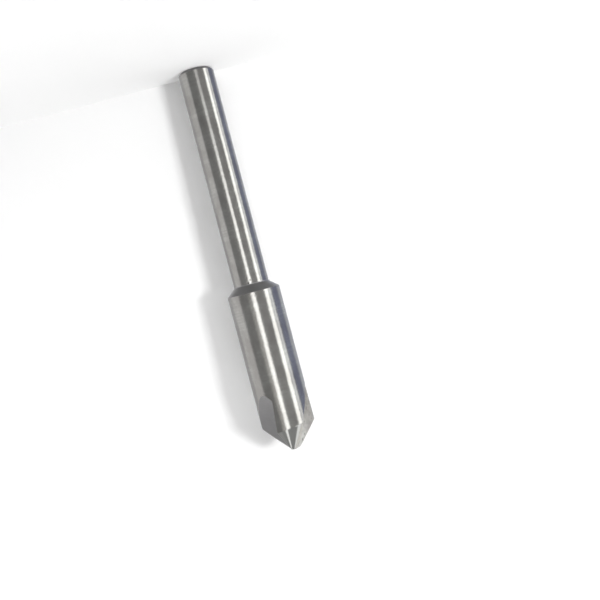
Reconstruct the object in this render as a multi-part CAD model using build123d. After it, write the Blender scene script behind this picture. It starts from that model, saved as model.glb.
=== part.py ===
"""Countersink bit: three flutes and a straight shank, ground from one bar of tool steel.

The tool stands on the flat end of its shank, with the point up: the origin is the middle of that
end, +Z runs up the tool's axis and one rake face looks to the front, along -Y. It is drawn in the
point's own frame, where the blunt point is the origin and the axis runs along +Y down the shank.
Angles round the axis are measured there from +Z towards +X. Seen from the shank, the cutting edges
lead when the tool turns clockwise, as a right-hand drill does.
"""
from build123d import *
import os
from math import cos, radians, sin, sqrt, tan

# Blank: sizes in millimetres
OVERALL_LENGTH = 69.85
BODY_DIAMETER = 9.525
BODY_END = 29.45  # from the point to the start of the shoulder
SHANK_DIAMETER = 6.35
SHOULDER_ANGLE = 50.0  # between the shoulder cone and the axis, degrees
NECK_RADIUS = 0.4  # fillet where the shoulder runs into the shank
SHANK_END_CHAMFER = 0.45

# Nose: the countersinking cone and its blunt point
POINT_ANGLE = 82.0  # included angle of the cutting edges, degrees
NOSE_LENGTH = 4.4  # from the blunt point to the rim, along a cutting edge
BLUNT_ANGLE = 148.0  # included angle of the small cone that blunts the point, degrees

# Flutes
FLUTES = 3
FIRST_EDGE = 88.5  # where the first rake face stands round the axis at the point, degrees
AXIAL_RAKE = 6.0  # lean of the rake face against the axis, degrees
FLUTE_LENGTH = 11.2  # from the point to where the floor runs out of the body
WEB_AT_POINT = 0.5  # from the axis to the floor, at the point
FLOOR_BOW = 0.45  # how far the floor bows outward of its own chord
FLOOR_TILTS = (0.0, 7.0, 7.0)  # how much wider than square each flute's corner is, degrees

# Relief: each land is a cone set off the axis, so it falls away behind its cutting edge
RELIEF_OFFSET = 0.5
RELIEF_LEAD = 60.0  # from the land's cutting edge back to the way the cone is set off, degrees

CUT_ROOM = 2.0  # how far every cutter reaches past the steel

# Worked out from the sizes above
BODY_RADIUS = BODY_DIAMETER / 2
SHANK_RADIUS = SHANK_DIAMETER / 2
NECK_START = BODY_END + (BODY_RADIUS - SHANK_RADIUS) / tan(radians(SHOULDER_ANGLE))
PITCH = 360.0 / FLUTES
EDGE_SLOPE = tan(radians(POINT_ANGLE / 2))


def round_axis(angle, part):
    """Turns a part about the tool's axis, from +Z towards +X."""
    return Rot(0, angle, 0) * part


def blank():
    """The turned bar: blunt point, body, shoulder, neck and shank."""
    blunt_rim = BODY_RADIUS / tan(radians(BLUNT_ANGLE / 2))
    outline = Polyline(
        (0, 0),
        (BODY_RADIUS, blunt_rim),
        (BODY_RADIUS, BODY_END),
        (SHANK_RADIUS, NECK_START),
        (SHANK_RADIUS, OVERALL_LENGTH - SHANK_END_CHAMFER),
        (SHANK_RADIUS - SHANK_END_CHAMFER, OVERALL_LENGTH),
        (0, OVERALL_LENGTH),
        close=True,
    )
    section = make_face(outline)
    neck = section.vertices().sort_by_distance((SHANK_RADIUS, NECK_START))[0]
    return revolve(fillet(neck, NECK_RADIUS), Axis.Y)


def relief_reach(angle_behind_edge):
    """Distance from a land's own cone axis to the body's surface, so far behind the cutting edge."""
    turn = radians(RELIEF_LEAD + angle_behind_edge)
    return sqrt(BODY_RADIUS**2 + RELIEF_OFFSET**2 - 2 * BODY_RADIUS * RELIEF_OFFSET * cos(turn))


def relief_cut():
    """What grinding one land takes off: its sector of the nose, less the cone set off the axis."""
    apex = NOSE_LENGTH - relief_reach(0) / EDGE_SLOPE
    widest = max(relief_reach(PITCH), BODY_RADIUS + RELIEF_OFFSET) + CUT_ROOM
    back = apex + widest / EDGE_SLOPE
    lead = radians(RELIEF_LEAD)
    cone_axis = Axis((RELIEF_OFFSET * cos(lead), 0, RELIEF_OFFSET * sin(lead)), (0, 1, 0))
    cone_section = make_face(Polyline((0, apex), (widest, back), (0, back), close=True))
    cone = revolve(Pos(*cone_axis.position) * cone_section, cone_axis)
    corner = BODY_RADIUS + CUT_ROOM
    sides = [Vector(corner, 0, 0).rotate(Axis.Y, turn) for turn in (0, PITCH / 2, PITCH)]
    sector = make_face(Polyline((0, 0, 0), *sides, close=True))
    front = Pos(0, -CUT_ROOM, 0) * sector
    return extrude(front, back + CUT_ROOM, dir=(0, 1, 0)) - cone


def flute_cut(tilt):
    """One flute: a bowed floor, tilted a little off square to the rake face, open towards +Z."""
    floor_start = Vector(WEB_AT_POINT, 0)
    floor_end = Vector(BODY_RADIUS, FLUTE_LENGTH)
    chord = floor_end - floor_start
    outward = Vector(chord.Y, -chord.X).normalized()
    floor_middle = (floor_start + floor_end) / 2 + outward * FLOOR_BOW
    floor = ThreePointArc(floor_start, floor_middle, floor_end)
    run_out = floor_end + (floor % 1) * (CUT_ROOM / (floor % 1).X)
    outline = Curve() + [
        Line((WEB_AT_POINT, -CUT_ROOM), floor_start),
        floor,
        Line(floor_end, run_out),
        Polyline(run_out, (run_out.X, -CUT_ROOM), (WEB_AT_POINT, -CUT_ROOM)),
    ]
    lean = tan(radians(tilt))
    behind = FLUTE_LENGTH * tan(radians(AXIAL_RAKE)) + CUT_ROOM
    ahead = BODY_RADIUS + CUT_ROOM
    foot = Pos(lean * behind, 0, -behind) * make_face(outline)
    wide = Vector(-lean, 0, 1) * (behind + ahead)
    prism = extrude(foot, wide.length, dir=wide.normalized())
    rake = radians(AXIAL_RAKE)
    rake_face = Plane((0, 0, 0), x_dir=(1, 0, 0), z_dir=(0, sin(rake), cos(rake)))
    return split(prism, rake_face, keep=Keep.TOP)


def countersink_bit():
    tool = blank()
    for flute in range(FLUTES):
        turn = FIRST_EDGE - 90 + flute * PITCH
        tool -= round_axis(turn, relief_cut())
    for flute in range(FLUTES):
        turn = FIRST_EDGE - 90 + flute * PITCH
        tool -= round_axis(turn, flute_cut(FLOOR_TILTS[flute]))
    return tool


# The point's own frame stands on top of the tool, its Y axis down the shank and its Z axis to the front
point_frame = Plane((0, 0, OVERALL_LENGTH), x_dir=(-1, 0, 0), z_dir=(0, -1, 0))
bit = point_frame.location * countersink_bit()
bit.label = "countersink_bit"
os.makedirs("parts", exist_ok=True)
export_step(bit, "parts/countersink_bit.step")
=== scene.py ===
"""A countersink bit of ground tool steel, standing on the flat end of its shank, with its stage.

The bit's surface is one grid: rows run down the tool from its point and columns run round it, over
each land, down into the flute behind it and back out along the rake face. Sizes inside the shape
functions are in millimetres, distances along the tool are counted from the point, and angles round
it from the front (-Y) towards -X. The mesh itself is in metres, with +Z up the tool's axis.
"""

from math import cos, pi, radians, sin, tan

import bmesh
import bpy
import numpy as np
from bpy.props import FloatProperty, FloatVectorProperty, PointerProperty
from mathutils import Matrix, Vector


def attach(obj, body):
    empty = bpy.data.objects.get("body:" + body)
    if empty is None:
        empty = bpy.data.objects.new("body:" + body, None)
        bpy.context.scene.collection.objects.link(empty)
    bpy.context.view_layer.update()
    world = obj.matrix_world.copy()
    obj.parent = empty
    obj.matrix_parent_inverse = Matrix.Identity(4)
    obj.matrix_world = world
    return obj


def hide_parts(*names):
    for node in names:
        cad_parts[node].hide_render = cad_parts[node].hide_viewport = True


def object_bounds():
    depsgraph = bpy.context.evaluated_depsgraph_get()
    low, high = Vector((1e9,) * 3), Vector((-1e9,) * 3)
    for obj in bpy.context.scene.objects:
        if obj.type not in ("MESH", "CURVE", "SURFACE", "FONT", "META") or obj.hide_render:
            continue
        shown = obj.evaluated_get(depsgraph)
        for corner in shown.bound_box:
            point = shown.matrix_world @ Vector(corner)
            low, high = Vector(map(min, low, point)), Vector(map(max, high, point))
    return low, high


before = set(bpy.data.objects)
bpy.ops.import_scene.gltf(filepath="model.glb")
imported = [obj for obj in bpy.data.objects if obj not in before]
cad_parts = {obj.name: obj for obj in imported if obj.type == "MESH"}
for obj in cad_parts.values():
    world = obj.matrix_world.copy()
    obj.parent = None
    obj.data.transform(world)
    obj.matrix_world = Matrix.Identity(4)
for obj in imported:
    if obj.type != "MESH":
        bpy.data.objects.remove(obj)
CAD_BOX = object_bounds()
NODE = "countersink_bit"
TOP = CAD_BOX[1][2]  # height of the blunt point, m
MM = 0.001

bl_info = {
    "name": "Countersink bit",
    "version": (1, 0, 0),
    "blender": (4, 5, 0),
    "location": "View3D > Sidebar > Countersink",
    "description": "Three-flute countersink bit with a straight shank, and the stage it stands on",
    "category": "Add Mesh",
}


# ---------------------------------------------------------------- sizes and colours a user changes

def length(name, description, millimetres):
    return FloatProperty(name=name, description=description, default=millimetres * MM, min=0.0,
                         precision=5, subtype="DISTANCE", unit="LENGTH")


def angle(name, description, degrees):
    return FloatProperty(name=name, description=description, default=radians(degrees),
                         subtype="ANGLE", unit="ROTATION")


def share(name, description, default):
    return FloatProperty(name=name, description=description, default=default, min=0.0, max=1.0,
                         subtype="FACTOR")


def colour(name, description, default):
    return FloatVectorProperty(name=name, description=description, default=default, size=3,
                               min=0.0, max=1.0, subtype="COLOR")


class BitSizes(bpy.types.PropertyGroup):
    """Sizes of the bit, the same as its solid's"""
    overall_length: length("Overall length", "From the blunt point to the end of the shank", 69.85)
    body_diameter: length("Body diameter", "Across the fluted body", 9.525)
    body_end: length("Body end", "From the point to the start of the shoulder", 29.45)
    shank_diameter: length("Shank diameter", "Across the straight shank", 6.35)
    shoulder_angle: angle("Shoulder angle", "Between the shoulder and the axis", 50.0)
    neck_radius: length("Neck radius", "Fillet between shoulder and shank", 0.4)
    end_chamfer: length("End chamfer", "Chamfer round the flat end of the shank", 0.45)
    point_angle: angle("Point angle", "Included angle of the cutting edges", 82.0)
    nose_length: length("Nose length", "From the blunt point to the rim, along a cutting edge", 4.4)
    blunt_angle: angle("Blunt angle", "Included angle of the small cone at the point", 148.0)
    first_edge: angle("First edge", "Where the first rake face stands round the axis", 88.5)
    axial_rake: angle("Axial rake", "Lean of the rake face against the axis", 6.0)
    flute_length: length("Flute length", "From the point to where the floor runs out", 11.2)
    web: length("Web", "From the axis to the flute's floor, at the point", 0.5)
    floor_bow: length("Floor bow", "How far the floor bows outward of its chord", 0.45)
    floor_tilt: angle("Floor tilt", "How much wider than square the second and third corner are", 7.0)
    relief_offset: length("Relief offset", "How far each land's cone is set off the axis", 0.5)
    relief_lead: angle("Relief lead", "From a cutting edge back to the way its cone is set off", 60.0)
    honed_edge: length("Honed edge", "Width broken off each sharp edge", 0.035)


class SteelFinish(bpy.types.PropertyGroup):
    """Colours and gloss of the ground steel"""
    barrel: colour("Barrel", "Ground body and shank", (0.62, 0.61, 0.59))
    cone: colour("Cone", "Relieved cone behind the cutting edges", (0.60, 0.60, 0.58))
    flute: colour("Flute", "Floors of the flutes", (0.52, 0.515, 0.52))
    # painted reflection: the floor of the flute on the -X side gets a much lighter copy of the flute
    # colour
    painted_reflection_flute: colour("Bright flute", "Floor of the flute on the -X side", (0.9, 0.885, 0.85))
    rake: colour("Rake face", "Rake faces of the flutes", (0.565, 0.56, 0.542))
    shoulder: colour("Shoulder", "Turned shoulder and shank end", (0.59, 0.585, 0.585))
    barrel_roughness: share("Barrel roughness", "Roughness of the ground cylinders", 0.17)
    cone_roughness: share("Cone roughness", "Roughness of the relieved cone", 0.14)
    flute_roughness: share("Flute roughness", "Roughness inside the flutes", 0.36)
    shoulder_roughness: share("Shoulder roughness", "Roughness of the shoulder", 0.34)


class StageLook(bpy.types.PropertyGroup):
    """Floor, sheet and lights round the bit"""
    paper: colour("Paper", "Floor and the sheet behind the tool", (0.9, 0.9, 0.9))
    sheet_glow: share("Sheet glow", "How bright the sheet is by itself", 0.145)
    floor_glow: share("Floor glow", "How bright the floor is by itself", 0.18)
    sheet_gap: length("Sheet gap", "From the tool's axis back to the sheet's foot", 3.25)
    sheet_lean: angle("Sheet lean", "How far the sheet leans back", 2.7)
    wall_radius: length("Wall radius", "Radius of the ring of cards round the tool", 400.0)
    wall: share("Wall", "Level of the cards' plain grey", 0.235)
    side_lamp: FloatProperty(name="Side lamp", description="Power of the lamp that casts the shadow",
                             default=1.2, min=0.0, unit="POWER")
    front_lamp: FloatProperty(name="Front lamp", description="Power of the broad lamp on the sheet",
                              default=0.10, min=0.0, unit="POWER")
    top_lamp: FloatProperty(name="Top lamp", description="Power of the lamp above the floor",
                            default=1.1, min=0.0, unit="POWER")


# ---------------------------------------------------------------- shape of the bit

class Shape:
    """The bit's surface as formulas, in millimetres from the blunt point."""

    def __init__(self, sizes):
        self.length = sizes.overall_length / MM
        self.radius = sizes.body_diameter / MM / 2
        self.body_end = sizes.body_end / MM
        self.shank = sizes.shank_diameter / MM / 2
        self.shoulder = sizes.shoulder_angle
        self.neck = sizes.neck_radius / MM
        self.chamfer = sizes.end_chamfer / MM
        self.slope = tan(sizes.point_angle / 2)
        self.blunt = tan(sizes.blunt_angle / 2)
        self.first_edge = sizes.first_edge
        self.rake = tan(sizes.axial_rake)
        self.floor_stop = sizes.flute_length / MM
        self.tilts = (0.0, sizes.floor_tilt, sizes.floor_tilt)
        self.web = sizes.web / MM
        self.offset = sizes.relief_offset / MM
        self.lead = sizes.relief_lead
        self.hone = sizes.honed_edge / MM
        self.apex = sizes.nose_length / MM - self.reach(0.0) / self.slope
        # circle through the floor's two ends and its bowed middle
        chord = np.array([self.radius - self.web, self.floor_stop])
        bow = sizes.floor_bow / MM
        half = np.hypot(*chord) / 2
        self.floor_radius = (half**2 + bow**2) / (2 * bow)
        outward = np.array([chord[1], -chord[0]]) / (2 * half)
        middle = np.array([self.web, 0.0]) + chord / 2
        self.floor_centre = middle + outward * (bow - self.floor_radius)
        # past the arc it runs on straight, and leaves the steel where floor = R / cos(tilt)
        rise, run = self.radius - self.floor_centre[0], self.floor_centre[1] - self.floor_stop
        self.floor_slope = run / rise
        furthest = self.radius * (1 / cos(max(self.tilts)) - 1) / self.floor_slope
        self.flute_end = self.floor_stop + furthest

    def reach(self, behind):
        """From a land's cone axis to the body's surface: sqrt(R² + e² - 2·R·e·cos(lead + behind))."""
        turn = self.lead + behind
        return np.sqrt(self.radius**2 + self.offset**2 - 2 * self.radius * self.offset * np.cos(turn))

    def rim(self, behind):
        """Distance from the point where a land's cone meets the body: apex + reach / slope."""
        return self.apex + self.reach(behind) / self.slope

    def blunt_line(self, behind):
        """Where the blunt cone r = B·s meets the land's cone, the positive root of
        (B² - m²)·s² + 2·(m²·apex - B·e·cos a)·s + e² - m²·apex² = 0."""
        m2, e = self.slope**2, self.offset
        a = self.blunt**2 - m2
        b = 2 * (m2 * self.apex - self.blunt * e * np.cos(self.lead + behind))
        c = e**2 - m2 * self.apex**2
        return (-b + np.sqrt(b * b - 4 * a * c)) / (2 * a)

    def land(self, behind, s):
        """Radius before the flutes: the least of R, the blunt cone B·s, and the land's cone
        e·cos a + sqrt(rho² - e²·sin² a), with a = lead + behind and rho = slope·(s - apex)."""
        a = self.lead + behind
        rho = self.slope * (s - self.apex)
        cone = self.offset * np.cos(a) + np.sqrt(np.maximum(rho**2 - (self.offset * np.sin(a))**2, 0))
        return np.minimum(np.minimum(cone, self.radius), self.blunt * s)

    def floor(self, s):
        """Where a flute's floor stands at t = 0: X on the floor's arc at s, then on its tangent."""
        across = np.maximum(self.floor_radius**2 - (s - self.floor_centre[1])**2, 0)
        straight = self.radius + self.floor_slope * (s - self.floor_stop)
        return np.where(s < self.floor_stop, self.floor_centre[0] + np.sqrt(across), straight)

    def half_chord(self, s, r, tilt):
        """Half the angle that a floor cuts out of a circle of radius r, round its middle at -tilt."""
        return np.arccos(np.minimum(self.floor(s) * cos(tilt) / r, 1))

    def rows(self):
        """Stretches of the fluted part: (0 blunt, 1 cone, 2 body; share of the stretch)."""
        thirds = [np.linspace(0, 1, BLUNT_ROWS), np.linspace(0, 1, CONE_ROWS),
                  1 - (1 - np.linspace(0, 1, FLUTE_ROWS))**2]
        zone = np.concatenate([np.full(len(t), i) for i, t in enumerate(thirds)])
        return zone[:, None], np.concatenate(thirds)[:, None]

    def along(self, zone, part, behind):
        """Distance from the point of a row's place, so that rows follow the creases: each stretch
        runs from one crease to the next, and stops short of it by the honed edge."""
        b, hone = self.blunt_line(behind), self.hone
        r = self.rim(behind)
        low = np.choose(zone, [0 * b, b + hone, r + hone])
        high = np.choose(zone, [b - hone, r - hone, self.flute_end + 0 * r])
        return low + (high - low) * part

    def cutting_edge(self, tilt):
        """Edge E of a flute, row by row: where rake face or floor meets its own land."""
        zone, part = self.rows()
        at = np.zeros_like(part)
        for _ in range(EDGE_PASSES):
            s = self.along(zone, part, at)
            r = np.maximum(self.land(at, s), 1e-9)
            face = np.arcsin(np.minimum(self.rake * s / r, 1))
            at = 0.5 * at + 0.5 * np.minimum(face, self.half_chord(s, r, tilt) - tilt)
        s = self.along(zone, part, at)
        return at, s, self.land(at, s)

    def far_edge(self, tilt):
        """Edge F of a flute, on the land before it, measured from that land's own edge."""
        zone, part = self.rows()
        at = np.full_like(part, 2 * pi / 3)
        for _ in range(EDGE_PASSES):
            s = self.along(zone, part, at)
            r = np.maximum(self.land(at, s), 1e-9)
            at = 0.5 * at + 0.5 * (2 * pi / 3 - self.half_chord(s, r, tilt) - tilt)
        s = self.along(zone, part, at)
        return at, s, self.land(at, s)

    def sector(self, lands, floors, rakes, tilt, next_tilt):
        """One third of the fluted part, (row, column) -> x along its cutting edge, t across, s.

        Land: (r·cos b, r·sin b, s) for b from the edge E to the next flute's edge F.
        Floor, in the next flute's own axes: (floor(s) + lean·t, t, s), t from F to the corner C.
        Rake: (x, rake·s, s), x from C out to E, where x² + (rake·s)² = r²."""
        zone, part = self.rows()
        pitch = 2 * pi / 3
        at_own, s_own, r_own = self.cutting_edge(tilt)
        at_e, s_e, r_e = self.cutting_edge(next_tilt)
        at_f, s_f, r_f = self.far_edge(next_tilt)
        lean = tan(next_tilt)
        x_e, t_e = r_e * np.cos(at_e), r_e * np.sin(at_e)
        x_c = np.minimum(self.floor(s_e) + lean * t_e, x_e)
        t_f = -r_f * np.sin(pitch - at_f)
        hone_e = np.minimum(self.hone, HONE_SHARE * (x_e - x_c))
        hone_f = np.minimum(self.hone, HONE_SHARE * (t_e - t_f))
        # land, which keeps its own flute's broken edge
        x_own, t_own = r_own * np.cos(at_own), r_own * np.sin(at_own)
        corner_own = np.minimum(self.floor(s_own) + tan(tilt) * t_own, x_own)
        hone_own = np.minimum(self.hone, HONE_SHARE * (x_own - corner_own))
        u = np.linspace(0, 1, lands)[None, :]
        first = at_own + hone_own / np.maximum(r_own, 1e-6)
        last = at_f - hone_f / np.maximum(r_f, 1e-6)
        b = first + (last - first) * u
        s = self.along(zone, part, b)
        r = self.land(b, s)
        land = np.stack([r * np.cos(b), r * np.sin(b), s], -1)
        # floor and rake, in the next flute's axes
        u = np.linspace(0, 1, floors)[None, :]
        t = (t_f + hone_f) + (t_e - t_f - hone_f) * u
        s = s_f + (s_e - s_f) * u
        bound = np.sqrt(np.maximum((r_f + (r_e - r_f) * u)**2 - t**2, 0))
        floor = np.stack([np.minimum(self.floor(s) + lean * t, bound), t, s], -1)
        u = (np.arange(1, rakes + 1) / rakes)[None, :]
        x = x_c + (x_e - hone_e - x_c) * u
        rake = np.stack([x, t_e + 0 * x, s_e + 0 * x], -1)
        follow = np.concatenate([floor, rake], 1)
        x, t = follow[..., 0].copy(), follow[..., 1].copy()
        follow[..., 0] = x * cos(pitch) - t * sin(pitch)
        follow[..., 1] = x * sin(pitch) + t * cos(pitch)
        return np.concatenate([land, follow], 1)

    def turned(self):
        """Profile below the flutes, rows of (radius, s, share of the way to even columns):
        body, broken rim, shoulder, neck arc (c - q·cos a, n - q·sin a), shank, chamfer, flat end."""
        hone, q = self.hone, self.neck
        start = self.body_end + (self.radius - self.shank) / tan(self.shoulder)
        tangent = q * tan(self.shoulder / 2)
        a = np.linspace(self.shoulder, 0, NECK_ROWS)
        arc_r = self.shank + q - q * np.cos(a)
        arc_s = start + tangent - q * np.sin(a)
        body = np.linspace(0, 1, BODY_ROWS + 1)[1:]
        body_s = self.flute_end + (self.body_end - hone - self.flute_end) * body
        lean = np.linspace(0, 1, SHOULDER_ROWS + 1)[:-1]
        rim_r = self.radius - hone * sin(self.shoulder)
        rim_s = self.body_end + hone * cos(self.shoulder)
        cone_r = rim_r + (arc_r[0] - rim_r) * lean
        cone_s = rim_s + (arc_s[0] - rim_s) * lean
        near = arc_s[-1] + NEAR_STEP * np.arange(1, NEAR_ROWS + 1)
        far = np.linspace(near[-1], self.length - self.chamfer - hone, FAR_ROWS + 1)[1:]
        shank_s = np.concatenate([near, far])
        flat = self.shank - self.chamfer
        slant = hone * SLANT
        edge_r = np.array([self.shank - slant, flat + slant])
        edge_s = np.array([self.length - self.chamfer + slant, self.length - slant])
        disc = (flat - hone) * np.linspace(1, 0, DISC_ROWS)
        r = np.concatenate([0 * body_s + self.radius, cone_r, arc_r, 0 * shank_s + self.shank,
                            edge_r, disc])
        s = np.concatenate([body_s, cone_s, arc_s, shank_s, edge_s, 0 * disc + self.length])
        even = np.concatenate([body * body * (3 - 2 * body), np.ones(len(r) - len(body))])
        stretches = ((body, BARREL), (lean, SHOULDER), (arc_r, SHOULDER), (shank_s, BARREL),
                     (edge_r, SHOULDER), (disc, FLAT_END))
        kind = np.concatenate([np.full(len(part), slot) for part, slot in stretches])
        return r, s, even, kind


# columns over a land, a flute's floor and a rake face
LANDS, FLOORS, RAKES = 92, 26, 14
# rows over the blunt cone, the relieved cone and the flutes
BLUNT_ROWS, CONE_ROWS, FLUTE_ROWS = 13, 40, 60
# rows over the plain body, the shoulder, the neck, the shank beside the neck, the rest of the
# shank, and the flat end
BODY_ROWS, SHOULDER_ROWS, NECK_ROWS, NEAR_ROWS, FAR_ROWS, DISC_ROWS = 26, 8, 26, 23, 21, 12
NEAR_STEP = 0.06  # distance between the rows beside the neck, mm
EDGE_PASSES = 60  # how many times the place of a flute's edge is worked out anew
HONE_SHARE = 0.25  # the most that a broken edge takes of its face
SLANT = 0.7  # a slanted broken edge's width along the axis and across it, as a share
# how near points are that get merged, and how short an edge that is dissolved (m)
MERGED, DISSOLVED = 2e-7, 1e-7
CREASE = radians(17)  # edges sharper than this are shaded sharp
# material slots, in the order in which the bit's operator adds them
BARREL, CONE, FLUTE, SHOULDER, FLAT_END, RAKE = range(6)
# kinds of row: the fluted part's three stretches, the last of them on the body, and then the
# turned part's slots from TURNED up
ON_BODY, TURNED = 2, 10
# small dents at the neck: mm across the tool (towards +X), mm from the point, depth, size
DENTS = ((0.36, 31.17, 0.02, 0.15), (-0.13, 31.60, 0.015, 0.14))


def bit_grid(shape):
    """Points (row, column, 3) of the whole bit in metres, and each row's kind of surface.

    The fluted part is three sectors, each turned to its place. Below it a column keeps its angle
    at the flutes' end and moves little by little to even spacing: end + (even - end)·share.
    A dent lowers the surface by depth·exp(-2·(distance / size)²)."""
    r, s, even, kind = shape.turned()
    parts = []
    for flute in range(3):
        tilt, next_tilt = shape.tilts[flute], shape.tilts[(flute + 1) % 3]
        sector = shape.sector(LANDS, FLOORS, RAKES, tilt, next_tilt)
        columns = sector.shape[1]
        last = sector[-1]
        angles = np.unwrap(np.arctan2(last[:, 1], last[:, 0]))
        even_angles = np.arange(columns) / columns * 2 * pi / 3
        turn = angles[None, :] + (even_angles - angles)[None, :] * even[:, None]
        below = np.stack([r[:, None] * np.cos(turn), r[:, None] * np.sin(turn),
                          s[:, None] + 0 * turn], -1)
        third = np.concatenate([sector, below], 0)
        way = shape.first_edge + flute * 2 * pi / 3
        across, back = third[..., 0], third[..., 1]
        left = across * sin(way) + back * cos(way)   # towards -X
        front = across * cos(way) - back * sin(way)  # towards -Y
        parts.append(np.stack([-left, -front, shape.length - third[..., 2]], -1))
    grid = np.concatenate(parts, 1)
    for across, down, depth, size in DENTS:
        away = (grid[..., 0] - across)**2 + (grid[..., 2] - shape.length + down)**2
        dip = depth * np.exp(-away / size**2 * 2) * (grid[..., 1] < 0)
        radius = np.maximum(np.hypot(grid[..., 0], grid[..., 1]), 1e-6)
        grid[..., 0:2] *= (1 - dip / radius)[..., None]
    zone, _ = shape.rows()
    return grid * MM, np.concatenate([zone[:, 0], kind + TURNED]), columns


def bit_mesh(shape):
    """The bit as one closed mesh: grid cells joined round the tool, and the collapsed cells at the
    point, at the flutes' ends and at the middle of the flat end merged away."""
    grid, kinds, columns = bit_grid(shape)
    rows, round_ = grid.shape[:2]
    index = np.arange(rows * round_).reshape(rows, round_)
    here, there = index[:-1], index[1:]
    quads = np.stack([here, np.roll(here, -1, 1), np.roll(there, -1, 1), there], -1).reshape(-1, 4)
    first, second = kinds[:-1, None], kinds[1:, None]
    column = np.arange(round_)[None, :] % columns
    cut = (column >= LANDS) & (column < columns - 1)
    rake = column >= LANDS + FLOORS - 1
    slot = np.where(first < ON_BODY, CONE, BARREL) + 0 * column
    slot = np.where(cut & (second <= ON_BODY), np.where(rake, RAKE, FLUTE), slot)
    for turned in (SHOULDER, FLAT_END):
        slot = np.where((first == TURNED + turned) | (second == TURNED + turned), turned, slot)
    slot = np.where((first >= TURNED) & (second == TURNED + BARREL), BARREL, slot)
    mesh = bpy.data.meshes.new("ground_bit")
    mesh.from_pydata(grid.reshape(-1, 3).tolist(), [], quads.tolist())
    mesh.polygons.foreach_set("material_index", slot.reshape(-1).astype(np.int32))
    body = bmesh.new()
    body.from_mesh(mesh)
    bmesh.ops.remove_doubles(body, verts=body.verts, dist=MERGED)
    bmesh.ops.dissolve_degenerate(body, dist=DISSOLVED, edges=body.edges)
    bmesh.ops.recalc_face_normals(body, faces=body.faces)
    body.to_mesh(mesh)
    body.free()
    mesh.polygons.foreach_set("use_smooth", np.ones(len(mesh.polygons), dtype=bool))
    mesh.set_sharp_from_angle(angle=CREASE)
    return mesh


# ---------------------------------------------------------------- finishes

class Value:
    """A number worked out by a material's nodes. Sums and products on it add Math nodes."""

    def __init__(self, shop, socket):
        self.shop, self.socket = shop, socket

    def __add__(self, other):
        return self.shop.maths("ADD", self, other)

    def __sub__(self, other):
        return self.shop.maths("SUBTRACT", self, other)

    def __rsub__(self, other):
        return self.shop.maths("SUBTRACT", other, self)

    def __mul__(self, other):
        return self.shop.maths("MULTIPLY", self, other)

    def __pow__(self, other):
        return self.shop.maths("POWER", self, other)

    __radd__ = __add__
    __rmul__ = __mul__

    def between(self, low, high):
        """0 below low, 1 above high, with a smooth step."""
        return self.shop.node("ShaderNodeMapRange", {"interpolation_type": "SMOOTHSTEP"},
                              {"Value": self, "From Min": low, "From Max": high})


class Finish:
    """One material, or the world, and its nodes."""

    def __init__(self, name, world=False):
        self.owner = (bpy.data.worlds if world else bpy.data.materials).new(name)
        self.owner.use_nodes = True
        self.tree = self.owner.node_tree
        self.tree.nodes.clear()
        self.out = self.tree.nodes.new("ShaderNodeOutput" + ("World" if world else "Material"))

    def node(self, kind, settings=None, values=None, output=0):
        """Adds a node: its settings first, then its sockets' values or links; gives an output,
        or a list of them where output names several."""
        made = self.tree.nodes.new(kind)
        for key, setting in (settings or {}).items():
            setattr(made, key, setting)
        for key, value in (values or {}).items():
            socket = made.inputs[key]
            if isinstance(value, Value):
                self.tree.links.new(value.socket, socket)
            else:
                socket.default_value = value
        if isinstance(output, tuple):
            return [Value(self, made.outputs[each]) for each in output]
        return Value(self, made.outputs[output])

    def maths(self, operation, *values):
        return self.node("ShaderNodeMath", {"operation": operation}, dict(enumerate(values)))

    def place(self):
        """Object coordinates, in metres."""
        return self.node("ShaderNodeTexCoord", output="Object")

    def axes(self):
        """Object coordinates as three numbers, in metres."""
        return self.node("ShaderNodeSeparateXYZ", None, {0: self.place()}, output=("X", "Y", "Z"))

    def stretched(self, x, y, z):
        """Object coordinates with each axis scaled, so a grain is long where its scale is small."""
        return self.node("ShaderNodeVectorMath", {"operation": "MULTIPLY"},
                         {0: self.place(), 1: (x, y, z)})

    def noise(self, place, detail=2.0, roughness=0.5):
        return self.node("ShaderNodeTexNoise", {"noise_dimensions": "3D"}, {
            "Vector": place, "Scale": 1.0, "Detail": detail, "Roughness": roughness})

    def blend(self, factor, first, second):
        """Colour between two colours."""
        return self.node("ShaderNodeMix", {"data_type": "RGBA", "clamp_factor": True},
                         {0: factor, 6: first, 7: second}, output=2)

    def steel(self, base, roughness, height, depth):
        """Closes with bare metal, whose bump is depth metres deep."""
        bump = self.node("ShaderNodeBump", None, {"Strength": 1.0, "Distance": depth,
                                                  "Height": height})
        return self.close(self.node("ShaderNodeBsdfPrincipled", None, {
            "Metallic": 1.0, "Base Color": base, "Normal": bump, "Roughness": roughness}))

    def glow(self, shade, strength=1.0):
        """Closes with plain light."""
        return self.close(self.node("ShaderNodeEmission", None, {
            "Color": shade, "Strength": strength}))

    def close(self, shader):
        self.tree.links.new(shader.socket, self.out.inputs["Surface"])
        return self.owner


def tone(rgb, factor, tint=(1.0, 1.0, 1.0)):
    """A colour made lighter or darker, and tinted."""
    return tuple(min(c * t * factor, 1.0) for c, t in zip(rgb, tint)) + (1.0,)


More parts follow.
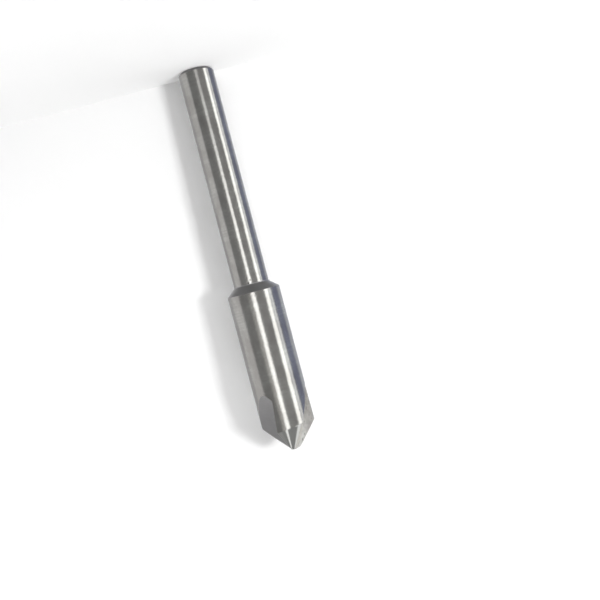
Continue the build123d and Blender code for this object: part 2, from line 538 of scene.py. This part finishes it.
def ground_barrel(finish):
    """Cylindrical grinding: hair-fine lines round the tool, cloudy patches, and a ripple that
    frays the edges of whatever it mirrors. The dents get painted shade inside."""
    f = Finish("ground_barrel")
    lines = f.noise(f.stretched(160, 160, 5200), detail=3)
    clouds = f.noise(f.stretched(420, 420, 260), detail=3)
    grit = f.noise(f.stretched(1500, 1500, 3400), detail=2)
    rgb = tuple(finish.barrel)
    base = f.blend(clouds.between(0.3, 0.7), tone(rgb, 0.86, (1.0, 0.99, 0.98)),
                   tone(rgb, 1.10, (0.985, 1.0, 0.99)))
    base = f.blend(lines.between(0.35, 0.65) * 0.5, base, tone(rgb, 0.9))
    x, y, z = f.axes()
    front = 1 - y.between(-0.001, 0.0)
    # painted shade: the dents on the front are darkened inside
    for across, down, _, size in DENTS:
        aside, up = x - across * MM, z - (TOP - down * MM)
        away = (aside * aside + up * up) ** 0.5
        near = 1 - away.between(0.5 * size * MM, 1.3 * size * MM)
        base = f.blend(near * front * 0.85, base, tone(rgb, 0.25))
    return f.steel(base, finish.barrel_roughness - 0.06 + lines * 0.04 + clouds * 0.08,
                   lines * 0.12 + grit * 2.0, 9e-6)


def ground_cone(finish):
    """Relief grinding on the cone: slightly coarser lines and a greyer tone."""
    f = Finish("ground_cone")
    lines = f.noise(f.stretched(260, 260, 3600), detail=2)
    clouds = f.noise(f.stretched(700, 700, 700), detail=2)
    rgb = tuple(finish.cone)
    base = f.blend(lines * 0.5 + clouds * 0.5, tone(rgb, 0.9), tone(rgb, 1.06))
    return f.steel(base, finish.cone_roughness - 0.03 + clouds * 0.06, lines + clouds, 3e-6)


def ground_flute(finish):
    """Floors of the flutes: a coarse wheel's grain across the tool, a little mottled. They darken
    towards the point as painted shade, and the one on the -X side is smoother and painted brighter as
    a painted reflection."""
    f = Finish("ground_flute")
    grain = f.noise(f.stretched(400, 400, 4200), detail=3, roughness=0.6)
    mottle = f.noise(f.stretched(600, 600, 500), detail=3)
    rgb = tuple(finish.flute)
    x, _, z = f.axes()
    # painted reflection: the floor on the -X side takes the lighter colour, and less roughness
    bright = 1 - x.between(-0.0012, 0.0)
    # painted shade: the floors' colour darkens towards the point
    high = z.between(TOP - 9.35 * MM, TOP - 2.35 * MM)
    base = f.blend(grain * 0.5 + mottle * 0.5, f.blend(high, tone(rgb, 0.92), tone(rgb, 0.74)),
                   f.blend(high, tone(rgb, 1.2), tone(rgb, 1.0)))
    base = f.blend(bright, base, tuple(finish.painted_reflection_flute) + (1.0,))
    return f.steel(base, finish.flute_roughness - 0.05 + mottle * 0.12 - bright * 0.18,
                   grain + mottle * 0.6, 6e-6)


def rake_face(finish):
    """Rake faces: mottled, darker towards the rim, with small dark pits."""
    f = Finish("rake_face")
    x, y, _ = f.axes()
    out = (x * x + y * y) ** 0.5
    mottle = f.noise(f.stretched(1400, 1400, 1000), detail=4, roughness=0.6)
    drift = f.noise(f.stretched(420, 420, 330), detail=2)
    pits = f.noise(f.stretched(2600, 2600, 2000), detail=0).between(0.68, 0.77)
    rgb = tuple(finish.rake)
    # darker towards the rim: the colour falls off with distance from the axis
    toward_rim = (out + (drift - 0.5) * 0.0024).between(0.0021, 0.0040)
    light = f.blend(toward_rim, tone(rgb, 1.22), tone(rgb, 0.84, (1.0, 0.99, 0.99)))
    dark = f.blend(toward_rim, tone(rgb, 0.86), tone(rgb, 0.58, (1.0, 0.965, 0.96)))
    base = f.blend((mottle * 0.7 + drift * 0.3).between(0.32, 0.68), dark, light)
    base = f.blend(pits * 0.7, base, tone(rgb, 0.35))
    return f.steel(base, finish.flute_roughness - 0.05 + mottle * 0.12, mottle + drift - pits, 6e-6)


def turned_shoulder(finish):
    """Shoulder, neck and shank chamfer: turned, so finer rings and a duller, darker skin."""
    f = Finish("turned_shoulder")
    rings = f.noise(f.stretched(90, 90, 7000), detail=2)
    clouds = f.noise(f.stretched(800, 800, 800), detail=2)
    rgb = tuple(finish.shoulder)
    base = f.blend(rings * 0.5 + clouds * 0.5, tone(rgb, 0.88), tone(rgb, 1.08))
    return f.steel(base, finish.shoulder_roughness + clouds * 0.06, rings, 3e-6)


def faced_end(finish):
    """Flat end of the shank: rings about the axis, from the facing cut."""
    f = Finish("faced_end")
    x, y, _ = f.axes()
    ring = f.node("ShaderNodeTexWave", {"wave_type": "BANDS", "bands_direction": "X"}, {
        "Vector": f.node("ShaderNodeCombineXYZ", None, {"X": (x * x + y * y) ** 0.5}),
        "Scale": 1100.0, "Distortion": 0.6, "Detail": 1.0}, output="Fac")
    rgb = tuple(finish.shoulder)
    return f.steel(f.blend(ring, tone(rgb, 0.85), tone(rgb, 1.1)), finish.shoulder_roughness,
                   ring, 5e-6)


# ---------------------------------------------------------------- stage

# upright bands of light on the ring of cards: from, to (degrees from the front towards -X), how
# soft their edges are (degrees), level, tint, how much of the level is left low down, and the
# heights between which it falls to that (m)
LOW, HIGH = (-0.09, -0.01), (0.02, 0.07)
BANDS = (
    (-171.5, -68.2, 5.5, 0.62, (1.01, 1.0, 1.0), 0.85, LOW),
    (-166.5, -118.6, 6.0, 0.44, (1.0, 1.0, 1.02), 1.0, LOW),
    (-25.7, -7.7, 6.0, 0.48, (1.02, 1.0, 0.97), 0.1, HIGH),
    (-10.5, 5.5, 2.6, 1.83, (1.0, 1.0, 0.995), 0.33, LOW),
    (9.3, 44.3, 5.0, 0.295, (1.01, 1.0, 1.0), 0.93, LOW),
    (48.7, 66.3, 3.0, 1.86, (1.0, 1.005, 0.99), 1.0, LOW),
    (66.6, 70.9, 1.5, 0.60, (0.98, 1.0, 1.06), 1.0, LOW),
    (70.9, 81.9, 2.0, 1.04, (0.98, 1.0, 1.02), 1.0, LOW),
    (84.9, 126.0, 4.0, 0.26, (0.88, 0.94, 1.26), 1.0, LOW),
    (125.0, 169.4, 10.0, 0.54, (0.96, 1.0, 1.09), 1.0, LOW),
    (171.0, 181.0, 4.0, 1.20, (1.0, 1.0, 1.0), 1.0, LOW),
    (-181.0, -171.0, 4.0, 1.20, (1.0, 1.0, 1.0), 1.0, LOW),
)
# low down the plain grey falls to a share of its level, between two heights (m)
GREY_LOW, GREY_FALL = 0.82, (-0.12, 0.02)
# and the bands move towards -X: degrees at once between two heights (m), and then degrees for
# each metre below a height (m)
SHIFT, SHIFT_BETWEEN = 3.6, (0.0, 0.045)
LEAN, LEAN_BELOW = 33.0, 0.03
# cards overhead: name, middle towards -X and -Y, size (m), level, turn (degrees)
TOP_CARDS = (
    ("stage_top_card_a", -0.015, -0.036, 0.052, 0.075, 1.55, 0.0),
    ("stage_top_card_c", -0.200, -0.085, 0.140, 0.150, 0.38, 0.0),
    ("stage_top_card_b", 0.258, -0.215, 0.115, 0.13, 1.15, -59.0),
)
# cards on the upper wall: name, from and to (degrees), low and high edge (m), level, tint
WALL_CARDS = (
    ("stage_wall_card", 128.0, 178.0, 0.24, 0.69, 0.86, (1.02, 1.0, 0.96)),
    ("stage_left_card", -100.0, -60.0, 0.25, 0.69, 0.29, (1.0, 1.0, 1.0)),
    ("stage_low_card", -180.0, 180.0, -0.59, -0.21, 0.20, (1.0, 1.0, 1.0)),
)
# lamps: name, place, aim, size (m)
LAMPS = (
    ("side_lamp", (-0.289, -0.345, 0.095), (0, 0, 0.035), 0.085),
    ("top_lamp", (-0.10, -0.16, 0.62), (0, 0, 0.0), 0.20),
    ("front_lamp", (0.05, -0.5, 0.45), (0, 0, 0.035), 0.5),
)
# lower and upper end of the ring (m), and the discs that close it: name, height (m), level
WALL_FROM, WALL_TO = -0.6, 0.7
LIDS = (("stage_lid", WALL_TO, 0.31), ("stage_base", WALL_FROM, 0.17))
# height of the cards overhead (m), and how far out the cards on the wall stand, as a share
CARD_HEIGHT, CARD_RING = 0.69, 0.985
# points round the ring, round a lid and round a card on the wall, and up or outwards on each
WALL_STEPS, LID_STEPS, CARD_STEPS, RISE_STEPS = 145, 73, 25, 3
# points along a side of a card overhead, and of the floor and the sheet
TOP_STEPS, PAPER_STEPS = 5, 9
ROOM_GREY = 0.1  # level of the light that the world gives dull surfaces
# floor: half its width, front and back edge (m), and its glow far from the tool
FLOOR_HALF, FLOOR_FRONT, FLOOR_BACK = 1.2, -1.6, 1.2
FLOOR_FAR, FLOOR_FAR_GLOW = 0.4, 4.6
SHEET_HALF, SHEET_HIGH = 0.6, 0.8
# the sheet's glow low down, as a share, and the heights between which it falls to that (m)
SHEET_LOW, SHEET_FALL = 0.65, (-0.01, 0.06)
# camera: place (m), turn in its own picture plane, upward tilt (degrees), focal length (mm)
EYE, ROLL, LIFT, LENS = (-0.00769, -0.1424, 0.0393), 14.697, 1.88, 47.65


def grid_object(name, points, material):
    """An object from a (row, column, 3) grid of points, with one material."""
    rows, columns = points.shape[:2]
    index = np.arange(rows * columns).reshape(rows, columns)
    quads = np.stack([index[:-1, :-1], index[:-1, 1:], index[1:, 1:], index[1:, :-1]], -1)
    mesh = bpy.data.meshes.new(name)
    mesh.from_pydata(points.reshape(-1, 3).tolist(), [], quads.reshape(-1, 4).tolist())
    mesh.materials.append(material)
    thing = bpy.data.objects.new(name, mesh)
    bpy.context.scene.collection.objects.link(thing)
    return thing


def card_light(look):
    """Glow of the ring of cards: plain grey, and over it each band, level·step(from)·step(to)."""
    f = Finish("card_ring")
    x, y, z = f.axes()
    below = f.maths("MINIMUM", z - LEAN_BELOW, 0.0)
    way = f.maths("ARCTAN2", x * -1.0, y * -1.0) * (180 / pi)
    way = way + below * LEAN - (1 - z.between(*SHIFT_BETWEEN)) * SHIFT
    grey = (look.wall,) * 3
    shade = f.blend(z.between(*GREY_FALL), tone(grey, GREY_LOW), tone(grey, 1.0))
    for start, stop, soft, level, tint, left, fall in BANDS:
        mask = way.between(start - soft, start + soft) * (1 - way.between(stop - soft, stop + soft))
        if left < 1:
            mask = mask * (left + z.between(*fall) * (1 - left))
        shade = f.blend(mask, shade, tuple(level * c for c in tint) + (1.0,))
    return f.glow(shade)


def plain_light(name, level, tint=(1.0, 1.0, 1.0)):
    """A card's or lid's even glow."""
    return Finish(name).glow(tint + (1.0,), level)


def paper(f, rgb, shade, glow):
    """White paper: dull, and partly bright by itself, so it stays white beside the tool's shadow."""
    dull = f.node("ShaderNodeBsdfDiffuse", None, {"Color": rgb})
    bright = f.node("ShaderNodeEmission", None, {"Color": shade, "Strength": glow})
    return f.node("ShaderNodeAddShader", None, {0: dull, 1: bright})


def floor_paper(look):
    """The floor's paper, which glows whiter far from the tool as painted light."""
    f = Finish("floor_paper")
    rgb = tuple(look.paper) + (1.0,)
    x, y, _ = f.axes()
    far = ((x * x + y * y) ** 0.5).between(0.0, FLOOR_FAR)
    shade = f.blend(far, rgb, (FLOOR_FAR_GLOW,) * 3 + (1.0,))
    return f.close(paper(f, rgb, shade, look.floor_glow))


def sheet_paper(look):
    """The sheet's paper, which glows less low down and is clear when seen from behind."""
    f = Finish("sheet_paper")
    rgb = tuple(look.paper) + (1.0,)
    _, _, z = f.axes()
    shade = f.blend(z.between(*SHEET_FALL), tone(look.paper, SHEET_LOW), rgb)
    behind = f.node("ShaderNodeNewGeometry", output="Backfacing")
    clear = f.node("ShaderNodeBsdfTransparent")
    return f.close(f.node("ShaderNodeMixShader", None, {
        0: behind, 1: paper(f, rgb, shade, look.sheet_glow), 2: clear}))


def white_room():
    """World: white to the eye, and a faint grey light on dull surfaces."""
    f = Finish("white_room", world=True)
    camera, glossy, clear = f.node("ShaderNodeLightPath", output=(
        "Is Camera Ray", "Is Glossy Ray", "Is Transmission Ray"))
    seen = f.maths("MAXIMUM", f.maths("MAXIMUM", camera, glossy), clear)
    plain = f.node("ShaderNodeBackground", None, {"Color": (ROOM_GREY,) * 3 + (1,)})
    white = f.node("ShaderNodeBackground", None, {"Color": (1, 1, 1, 1)})
    return f.close(f.node("ShaderNodeMixShader", None, {0: seen, 1: plain, 2: white}))


def ring_points(radius, start, stop, steps, low, high):
    """Part of an upright ring: (r·sin a, -r·cos a, h), a from start to stop, h from low to high."""
    turn, rise = np.meshgrid(np.linspace(start, stop, steps), np.linspace(low, high, RISE_STEPS))
    return np.stack([radius * np.sin(turn), -radius * np.cos(turn), rise], -1)


def disc_points(radius, height):
    """A level disc: (d·sin a, -d·cos a, height)."""
    turn, out = np.meshgrid(np.linspace(0, 2 * pi, LID_STEPS), np.linspace(MM, radius, RISE_STEPS))
    return np.stack([out * np.sin(turn), -out * np.cos(turn), height + 0 * out], -1)


def card_points(left, front, wide, long, turned_by):
    """A level card overhead, turned about its middle."""
    side = np.linspace(-0.5, 0.5, TOP_STEPS)
    a, b = np.meshgrid(side, side)
    c, d = cos(radians(turned_by)), sin(radians(turned_by))
    across, along = wide * a * c - long * b * d, wide * a * d + long * b * c
    return np.stack([-(left + across), -(front + along), CARD_HEIGHT + 0 * a], -1)


def hide_from(things, rays):
    """Leaves things out of what some kinds of ray see."""
    for thing in things:
        for ray in rays:
            setattr(thing, "visible_" + ray, False)


def lamp(name, place, aim, size, power):
    """A square lamp aimed at a point. The steel doesn't mirror it."""
    light = bpy.data.lights.new(name, "AREA")
    light.shape, light.size, light.energy = "SQUARE", size, power
    thing = bpy.data.objects.new(name, light)
    thing.location = place
    thing.rotation_euler = (Vector(aim) - Vector(place)).to_track_quat("-Z", "Y").to_euler()
    thing.visible_glossy = False
    bpy.context.scene.collection.objects.link(thing)
    return thing


# ---------------------------------------------------------------- operators

class COUNTERSINK_OT_bit(bpy.types.Operator):
    """Grind the bit's surface and give each face its finish"""
    bl_idname = "countersink.bit"
    bl_label = "Countersink bit"
    bl_options = {"REGISTER", "UNDO"}

    def execute(self, context):
        scene = context.scene
        mesh = bit_mesh(Shape(scene.countersink_sizes))
        if not mesh.polygons:
            raise RuntimeError("the bit has no faces")
        for make in (ground_barrel, ground_cone, ground_flute, turned_shoulder, faced_end,
                     rake_face):
            mesh.materials.append(make(scene.countersink_finish))
        bit = bpy.data.objects.new("ground_bit", mesh)
        scene.collection.objects.link(bit)
        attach(bit, "root")
        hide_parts(NODE)
        return {"FINISHED"}


class COUNTERSINK_OT_stage(bpy.types.Operator):
    """Set up the floor, the sheet behind the tool, the cards, the lamps and the camera"""
    bl_idname = "countersink.stage"
    bl_label = "Stage, lights and camera"
    bl_options = {"REGISTER", "UNDO"}

    def execute(self, context):
        scene = context.scene
        look = scene.countersink_stage
        u, v = np.meshgrid(np.linspace(-1, 1, PAPER_STEPS), np.linspace(0, 1, PAPER_STEPS))
        depth = FLOOR_FRONT + (FLOOR_BACK - FLOOR_FRONT) * v
        floor = grid_object("stage_floor", np.stack([FLOOR_HALF * u, depth, 0 * u], -1),
                            floor_paper(look))
        high = SHEET_HIGH * v
        sheet = grid_object("stage_sheet", np.stack([
            SHEET_HALF * u, look.sheet_gap + high * tan(look.sheet_lean), high], -1),
            sheet_paper(look))
        ring = look.wall_radius
        wall = grid_object("stage_wall", ring_points(ring, 0, 2 * pi, WALL_STEPS, WALL_FROM, WALL_TO),
                           card_light(look))
        lids = [grid_object(name, disc_points(ring, height), plain_light(name, level))
                for name, height, level in LIDS]
        cards = []
        for name, left, front, wide, long, level, turned_by in TOP_CARDS:
            cards.append(grid_object(name, card_points(left, front, wide, long, turned_by),
                                     plain_light(name, level)))
        for name, start, stop, low, high, level, tint in WALL_CARDS:
            cards.append(grid_object(name, ring_points(
                ring * CARD_RING, -radians(start), -radians(stop), CARD_STEPS, low, high),
                plain_light(name, level, tint)))
        hide_from((floor, sheet), ("glossy", "shadow"))
        hide_from([wall] + lids + cards,
                  ("camera", "diffuse", "shadow", "transmission", "volume_scatter"))
        for name, place, aim, size in LAMPS:
            lamp(name, place, aim, size, getattr(look, name))
        scene.world = white_room()
        eye = bpy.data.cameras.new("eye")
        eye.sensor_width, eye.lens = 36.0, LENS
        eye.clip_start, eye.clip_end = 0.005, 5.0
        eye.dof.use_dof = False
        camera = bpy.data.objects.new("eye", eye)
        scene.collection.objects.link(camera)
        roll = radians(ROLL)
        right, down = Vector((-cos(roll), 0, sin(roll))), Vector((sin(roll), 0, cos(roll)))
        tilt = Matrix.Rotation(radians(LIFT), 3, "X")
        axes = Matrix([tilt @ right, tilt @ -down, tilt @ Vector((0, -1, 0))]).transposed()
        camera.matrix_world = Matrix.Translation(EYE) @ axes.to_4x4()
        scene.camera = camera
        scene.view_settings.view_transform = "Standard"
        return {"FINISHED"}


class COUNTERSINK_PT_panel(bpy.types.Panel):
    """Sizes, finishes and stage of the countersink bit"""
    bl_idname = "COUNTERSINK_PT_panel"
    bl_label = "Countersink bit"
    bl_space_type = "VIEW_3D"
    bl_region_type = "UI"
    bl_category = "Countersink"

    def draw(self, context):
        for group in (context.scene.countersink_sizes, context.scene.countersink_finish,
                      context.scene.countersink_stage):
            box = self.layout.box()
            for name in group.__annotations__:
                box.prop(group, name)
        self.layout.operator(COUNTERSINK_OT_bit.bl_idname)
        self.layout.operator(COUNTERSINK_OT_stage.bl_idname)


CLASSES = (BitSizes, SteelFinish, StageLook, COUNTERSINK_OT_bit, COUNTERSINK_OT_stage,
           COUNTERSINK_PT_panel)


def register():
    for cls in CLASSES:
        bpy.utils.register_class(cls)
    bpy.types.Scene.countersink_sizes = PointerProperty(type=BitSizes)
    bpy.types.Scene.countersink_finish = PointerProperty(type=SteelFinish)
    bpy.types.Scene.countersink_stage = PointerProperty(type=StageLook)


def unregister():
    del bpy.types.Scene.countersink_sizes
    del bpy.types.Scene.countersink_finish
    del bpy.types.Scene.countersink_stage
    for cls in reversed(CLASSES):
        bpy.utils.unregister_class(cls)


def main():
    register()
    bpy.ops.countersink.bit()
    bpy.ops.countersink.stage()


if __name__ == "__main__":
    main()
